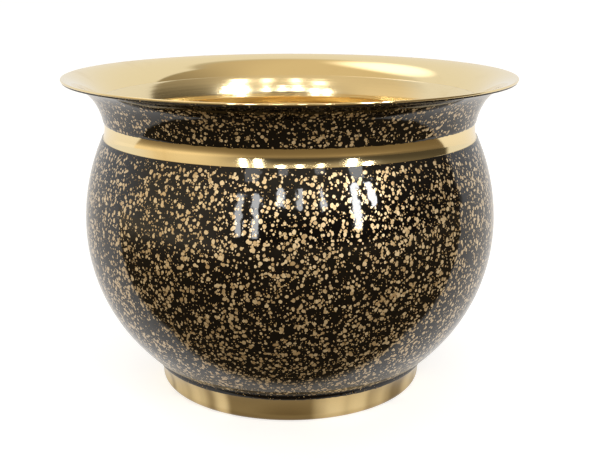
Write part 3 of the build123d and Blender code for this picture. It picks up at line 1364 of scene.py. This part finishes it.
@dataclass
class EnamelCoats(TurnedWork):
    """The two enamel coats, thin at their edges, and the gold drops on them."""

    belly_seed: float = 11.0
    collar_seed: float = 23.0
    feather: float = 0.5 * MM
    ragged: float = 0.3 * MM
    foot_lap: float = 0.75 * MM
    lap_rise: float = 0.38 * MM
    lap_thickness: float = 0.08 * MM
    rim_bead: float = 0.7 * MM
    bead_run: float = 2.0 * MM
    drop_thickness: float = 0.02 * MM
    collar_thickness: float = 0.05 * MM
    collar_share: float = 0.85
    shoulder_gap: float = 1.0 * MM
    foot_gap: float = 0.5 * MM
    rim_gap: float = 9.5 * MM

    def build(self, effects: Effects) -> None:
        """Builds both coats and their drops.

        Args:
            effects: the shared shader groups.
        """
        enamel = EnamelFinish().make(effects)
        gold = GoldFinish().make(effects)
        self.turn("belly_coat", self.belly(), enamel, Slot.ENAMEL, "belly_enamel", self.belly_seed)
        self.turn("collar_coat", self.collar(), enamel, Slot.ENAMEL, "collar_enamel", self.collar_seed)
        for size in DropSize:
            face = self.belly_face(self.shoulder_gap + size.largest, self.foot_gap + size.largest)
            self.drops("belly_drops", face, gold, size, 1.0, self.drop_thickness)
            face = self.collar_face(self.rim_gap, size.largest)
            self.drops("collar_drops", face, gold, size, self.collar_share, self.collar_thickness)

    def drops(
        self, name: str, face: Outline, material: Material, size: DropSize, share: float, thickness: float
    ) -> None:
        """Scatters the drops of one size over one coat's face and attaches them to the body.

        Args:
            name: start of the piece's name.
            face: outline of the face that they lie on.
            material: their finish.
            size: which of the three sizes.
            share: density, as a share of the belly's.
            thickness: height of a drop's middle above its rim.
        """
        values = {
            "Segments": self.segments,
            "Ragged Seed": 0.0,
            "Drops per m2": size.per_m2 * share,
            "Smallest Radius": size.smallest,
            "Largest Radius": size.largest,
            "Thickness": thickness,
            "Rim Points": size.points,
            "Seed": size.seed,
            "Material": material,
        }
        piece = run_tree(f"{name}_{size.name.lower()}", face, self.trees.spatter, values)
        hand_in(piece, Slot.ENAMEL)

    def belly_face(self, top_gap: float, foot_gap: float) -> Outline:
        """Draws the outer face of the belly's coat.

        Args:
            top_gap: height left free under the ledge.
            foot_gap: height left free above the foot ring.

        Returns:
            The open outline, from the ledge down.
        """
        f = self.form
        foot = f.foot_top + f.coat + foot_gap
        line = Outline().to(beyond(f.shoulder_centre, f.shoulder_curve + f.coat, f.seat_height - top_gap))
        line.arc(f.shoulder_centre, Vector((f.belly_radius + f.coat, f.equator_height)))
        return line.arc(f.flank_centre, beyond(f.flank_centre, f.flank_curve + f.coat, foot))

    def belly(self) -> Outline:
        """Draws the belly's coat: a sharp edge at the ledge, a ragged one that laps over the foot ring.

        Returns:
            The closed outline.
        """
        f = self.form
        ledge = Vector((f.seat_radius, f.seat_height))
        lap = f.foot_angle - self.foot_lap / f.foot_curve
        rest = f.foot_end(-self.lap_thickness, lap)
        slip = (rest - f.foot_end(0, f.foot_angle)).normalized() * self.ragged
        line = Outline().to(ledge, *self.belly_face(0.0, self.lap_rise).points)
        line.to(f.foot_end(-self.lap_thickness, f.foot_angle))
        line.to(rest, f.foot_end(self.lap_thickness, lap), drift=slip)
        line.to(f.foot_end(f.foot_sheet, f.foot_angle), beyond(f.flank_centre, f.flank_curve, f.foot_top))
        line.arc(f.flank_centre, Vector((f.belly_radius, f.equator_height)))
        line.arc(f.shoulder_centre, ledge)
        return line.closed()

    def collar_face(self, rim_gap: float, band_gap: float) -> Outline:
        """Draws the outer face of the collar's coat.

        Args:
            rim_gap: reach left free inside the coat's upper edge.
            band_gap: length left free above the bare band.

        Returns:
            The open outline, from the rim down.
        """
        f = self.form
        foot_angle = f.band_angle + band_gap / f.neck_curve
        line = Outline().to(f.lip_under(f.rim_radius - f.bare_edge - rim_gap, f.coat))
        line.arc(f.lip_centre, f.neck_end(-f.coat, f.lip_angle), FINE_PITCH)
        return line.arc(f.neck_centre, f.neck_end(-f.coat, foot_angle), FINE_PITCH)

    def collar(self) -> Outline:
        """Draws the collar's coat: a hanging bead under the rim, slightly ragged along the bare band.

        Returns:
            The closed outline.
        """
        f = self.form
        start = f.lip_under(f.rim_radius - f.bare_edge)
        face = self.collar_face(self.bead_run, self.feather).points
        line = Outline().to(start, start - Vector((0, self.rim_bead)), *face[:-1])
        line.to(face[-1], f.band_point, drift=Vector((0, -self.ragged)))
        line.arc(f.neck_centre, f.neck_end(0, f.lip_angle), FINE_PITCH)
        line.arc(f.lip_centre, start, FINE_PITCH)
        return line.closed()


@dataclass(frozen=True)
class WindowPane:
    """One tall soft lamp, placed by its direction from the pot, in degrees."""

    azimuth: float
    low: float
    high: float
    across: float
    radiance: float
    distance: float = 1.8

    def build(self, name: str, aim: Vector) -> None:
        """Makes the lamp.

        Args:
            name: name of the lamp.
            aim: point that it faces.
        """
        rise = math.radians((self.low + self.high) / 2)
        turn = math.radians(self.azimuth)
        lamp = bpy.data.lights.new(name, "AREA")
        lamp.shape = "RECTANGLE"
        lamp.size = self.distance * math.radians(self.across)
        lamp.size_y = self.distance * math.radians(self.high - self.low)
        lamp.energy = self.radiance * lamp.size * lamp.size_y * math.pi
        way = Vector((math.sin(turn) * math.cos(rise), -math.cos(turn) * math.cos(rise), math.sin(rise)))
        holder = new_object(name, lamp)
        holder.location = aim + way * self.distance
        holder.rotation_euler = way.to_track_quat("Z", "Y").to_euler()
        holder.visible_camera = False


@dataclass
class Studio:
    """Pale floor, soft lamps in front, a white surround behind, and the camera."""

    aim: Vector = field(default_factory=lambda: Vector((0, 0, 0.11)))
    panes: tuple[WindowPane, ...] = (
        WindowPane(-26.0, 2.0, 23.0, 3.0, 12.0),
        WindowPane(-17.5, 2.0, 24.0, 3.4, 13.0),
        WindowPane(-5.0, 18.0, 27.0, 3.4, 17.0),
        WindowPane(6.0, 17.0, 27.0, 2.6, 13.0),
        WindowPane(18.0, 15.0, 27.0, 1.6, 17.0),
        WindowPane(36.0, 5.0, 27.0, 3.6, 30.0),
        WindowPane(46.0, 14.0, 27.0, 3.6, 30.0),
        WindowPane(-22.0, 29.0, 42.0, 8.0, 2.6),
        WindowPane(-4.0, 34.0, 46.0, 5.0, 3.4),
        WindowPane(19.0, 34.0, 46.0, 5.0, 3.4),
        WindowPane(41.0, 29.0, 44.0, 8.0, 6.0),
    )

    # Floor: pale to the camera, and mirrored dim in front of the pot and pale behind it
    floor_reach: float = 9.0
    floor_seen: Colour = (0.66, 0.66, 0.66, 1.0)
    floor_lift: float = 0.59
    floor_in_front: Colour = (0.155, 0.12, 0.072, 1.0)
    floor_behind: float = 0.82
    floor_fade: Range = (0.2, 1.6)
    edge_half: float = 0.1
    edge_slope: float = 0.27
    edge_line: Range = (-0.084, -0.072)
    # Painted shade: the mirrored floor is dimmed close round the pot
    shade_reach: Range = (0.066, 0.086)
    shade_level: float = 0.6

    # Room in front and wall behind: where each change by direction starts and ends, and its brightness
    left_side: Range = (-0.88, -0.25)
    low_light: Range = (0.9, 0.08)
    high_light: Range = (0.74, 0.34)
    room_rise: Range = (0.08, 0.62)
    wall_start: Range = (-0.2, 0.26)
    wall_full: float = 0.34
    wall_top: Range = (0.85, 0.93)
    wall_light: float = 0.88
    right_way: tuple[float, float, float] = (1.0, 0.35, 0.0)
    glow_way: tuple[float, float, float] = (-0.44, 0.28, 0.85)
    glow_edge: Range = (0.93, 0.99)
    glow_light: float = 1.2

    # Camera, fitted to the photograph, with its pitch in degrees and its lens in mm
    camera_place: tuple[float, float, float] = (0.00515, -0.5182, 0.2169)
    camera_pitch: float = 75.08
    camera_lens: float = 60.28

    def build(self) -> None:
        """Builds the whole stage."""
        self.floor()
        self.surround()
        for number, pane in enumerate(self.panes):
            pane.build(f"window_{number}", self.aim)
        self.camera()

    def floor(self) -> None:
        """Lays the floor, matt and nearly white to the camera."""
        mesh = bpy.data.meshes.new("floor")
        r = self.floor_reach
        mesh.from_pydata([(-r, -r, 0), (r, -r, 0), (r, r, 0), (-r, r, 0)], [], [(0, 1, 2, 3)])
        floor = new_object("floor", mesh)
        material = bpy.data.materials.new("floor_paint")
        sheet = blank_sheet(material)
        path = sheet.add("ShaderNodeLightPath").outputs
        paint = sheet.blend(path["Is Camera Ray"], self.floor_in_front, self.floor_seen)
        matt = sheet.add("ShaderNodeBsdfDiffuse", {"Color": paint})
        glossy = sheet.sum("MAXIMUM", path["Is Glossy Ray"], path["Is Transmission Ray"])
        behind = self.behind_edge(sheet)
        pale = sheet.sum("MAXIMUM", sheet.sum("MULTIPLY", behind, self.floor_behind), self.far_floor(sheet))
        lifted = sheet.sum("MULTIPLY", path["Is Camera Ray"], self.floor_lift)
        strength = sheet.sum("MAXIMUM", lifted, sheet.sum("MULTIPLY", glossy, pale))
        white = sheet.sum("MAXIMUM", behind, path["Is Camera Ray"])
        colour = sheet.blend(white, ROOM_LIGHT, WHITE)
        lift = sheet.add("ShaderNodeEmission", {"Color": colour, "Strength": strength})
        both = sheet.add("ShaderNodeAddShader", {0: matt.outputs[0], 1: lift.outputs[0]})
        sheet.add("ShaderNodeOutputMaterial", {"Surface": both.outputs[0]})
        mesh.materials.append(material)

    def behind_edge(self, sheet: Sheet) -> Socket:
        """Marks the floor that the picture shows, from a line close in front of the pot backwards.

        Args:
            sheet: the floor's material.

        Returns:
            Socket of the mask, with painted shade that makes it darker under the pot.
        """
        place = sheet.place()
        axes = sheet.split(place)
        outer = sheet.sum("SUBTRACT", sheet.sum("ABSOLUTE", axes["X"]), self.edge_half)
        line = sheet.sum("MULTIPLY_ADD", sheet.sum("MAXIMUM", outer, 0.0), -self.edge_slope, axes["Y"])
        # Painted shade: dims the floor's mirrored glow near the pot's foot
        shaded = sheet.span(sheet.vector("LENGTH", place), *self.shade_reach, self.shade_level, 1.0)
        return sheet.sum("MULTIPLY", sheet.span(line, *self.edge_line), shaded)

    def far_floor(self, sheet: Sheet) -> Socket:
        """Lets the floor fade into the room with distance, so that no horizon shows in the gloss.

        Args:
            sheet: the floor's material.

        Returns:
            Socket of the floor's brightness there.
        """
        place = sheet.place()
        fade = sheet.span(sheet.vector("LENGTH", place), *self.floor_fade)
        bearing = sheet.split(sheet.vector("NORMALIZE", place))["X"]
        return sheet.sum("MULTIPLY", fade, self.low_room(sheet, bearing))

    def low_room(self, sheet: Sheet, bearing: Socket) -> Socket:
        """The room's brightness near the floor, by the bearing's X: pale on the left, dark in front."""
        return sheet.span(bearing, *self.left_side, *self.low_light)

    def surround(self) -> None:
        """Makes the world: white behind the pot and for the camera, a dim warm room in front of it."""
        world = bpy.data.worlds.new("studio")
        bpy.context.scene.world = world
        sheet = blank_sheet(world)
        way = sheet.add("ShaderNodeTexCoord").outputs["Generated"]
        height = sheet.split(way)["Z"]
        bearing = sheet.split(sheet.flat_way(way))

        # The white wall behind, which reaches further forward on the left
        start = sheet.span(bearing["X"], -0.3, 0.3, *self.wall_start)
        beside = sheet.span(bearing["Y"], start, self.wall_full)
        behind = sheet.sum("MULTIPLY", beside, sheet.span(height, *self.wall_top, 1.0, 0.0))
        wall = sheet.sum("MULTIPLY", behind, self.wall_light)

        # The room in front, with a soft glow high up
        high = sheet.span(sheet.vector("DOT_PRODUCT", way, self.right_way), 0.0, 0.85, *self.high_light)
        low = self.low_room(sheet, bearing["X"])
        rise = sheet.span(height, *self.room_rise)
        dim = sheet.sum("MULTIPLY_ADD", rise, sheet.sum("SUBTRACT", high, low), low)
        aligned = sheet.vector("DOT_PRODUCT", way, self.glow_way)
        glow = sheet.span(aligned, *self.glow_edge, 0.0, self.glow_light)
        room = sheet.sum("ADD", dim, glow)

        camera = sheet.add("ShaderNodeLightPath").outputs["Is Camera Ray"]
        white = sheet.sum("MAXIMUM", sheet.sum("MAXIMUM", behind, glow), camera)
        strength = sheet.sum("MAXIMUM", sheet.sum("MAXIMUM", wall, camera), room)
        light = {"Color": sheet.blend(white, ROOM_LIGHT, WHITE), "Strength": strength}
        background = sheet.add("ShaderNodeBackground", light)
        sheet.add("ShaderNodeOutputWorld", {"Surface": background.outputs[0]})

    def camera(self) -> None:
        """Sets the camera where the photograph was taken from."""
        data = bpy.data.cameras.new("camera")
        data.lens = self.camera_lens
        data.sensor_width = 36.0
        data.sensor_fit = "HORIZONTAL"
        data.clip_start = 0.01
        holder = new_object("camera", data)
        holder.location = self.camera_place
        holder.rotation_euler = (math.radians(self.camera_pitch), 0.0, 0.0)
        bpy.context.scene.camera = holder


def main() -> None:
    """Builds the stage and every piece of the pot in order."""
    logging.basicConfig(level=logging.INFO, format="%(name)s: %(message)s")
    bpy.context.scene.view_settings.view_transform = "Standard"
    form = PotForm()
    trees = TurningTrees()
    effects = Effects()
    Studio().build()
    BrassBody(form, trees).build(effects)
    SolderJoints(form, trees).build(effects)
    EnamelCoats(form, trees).build(effects)


if __name__ == "__main__":
    main()
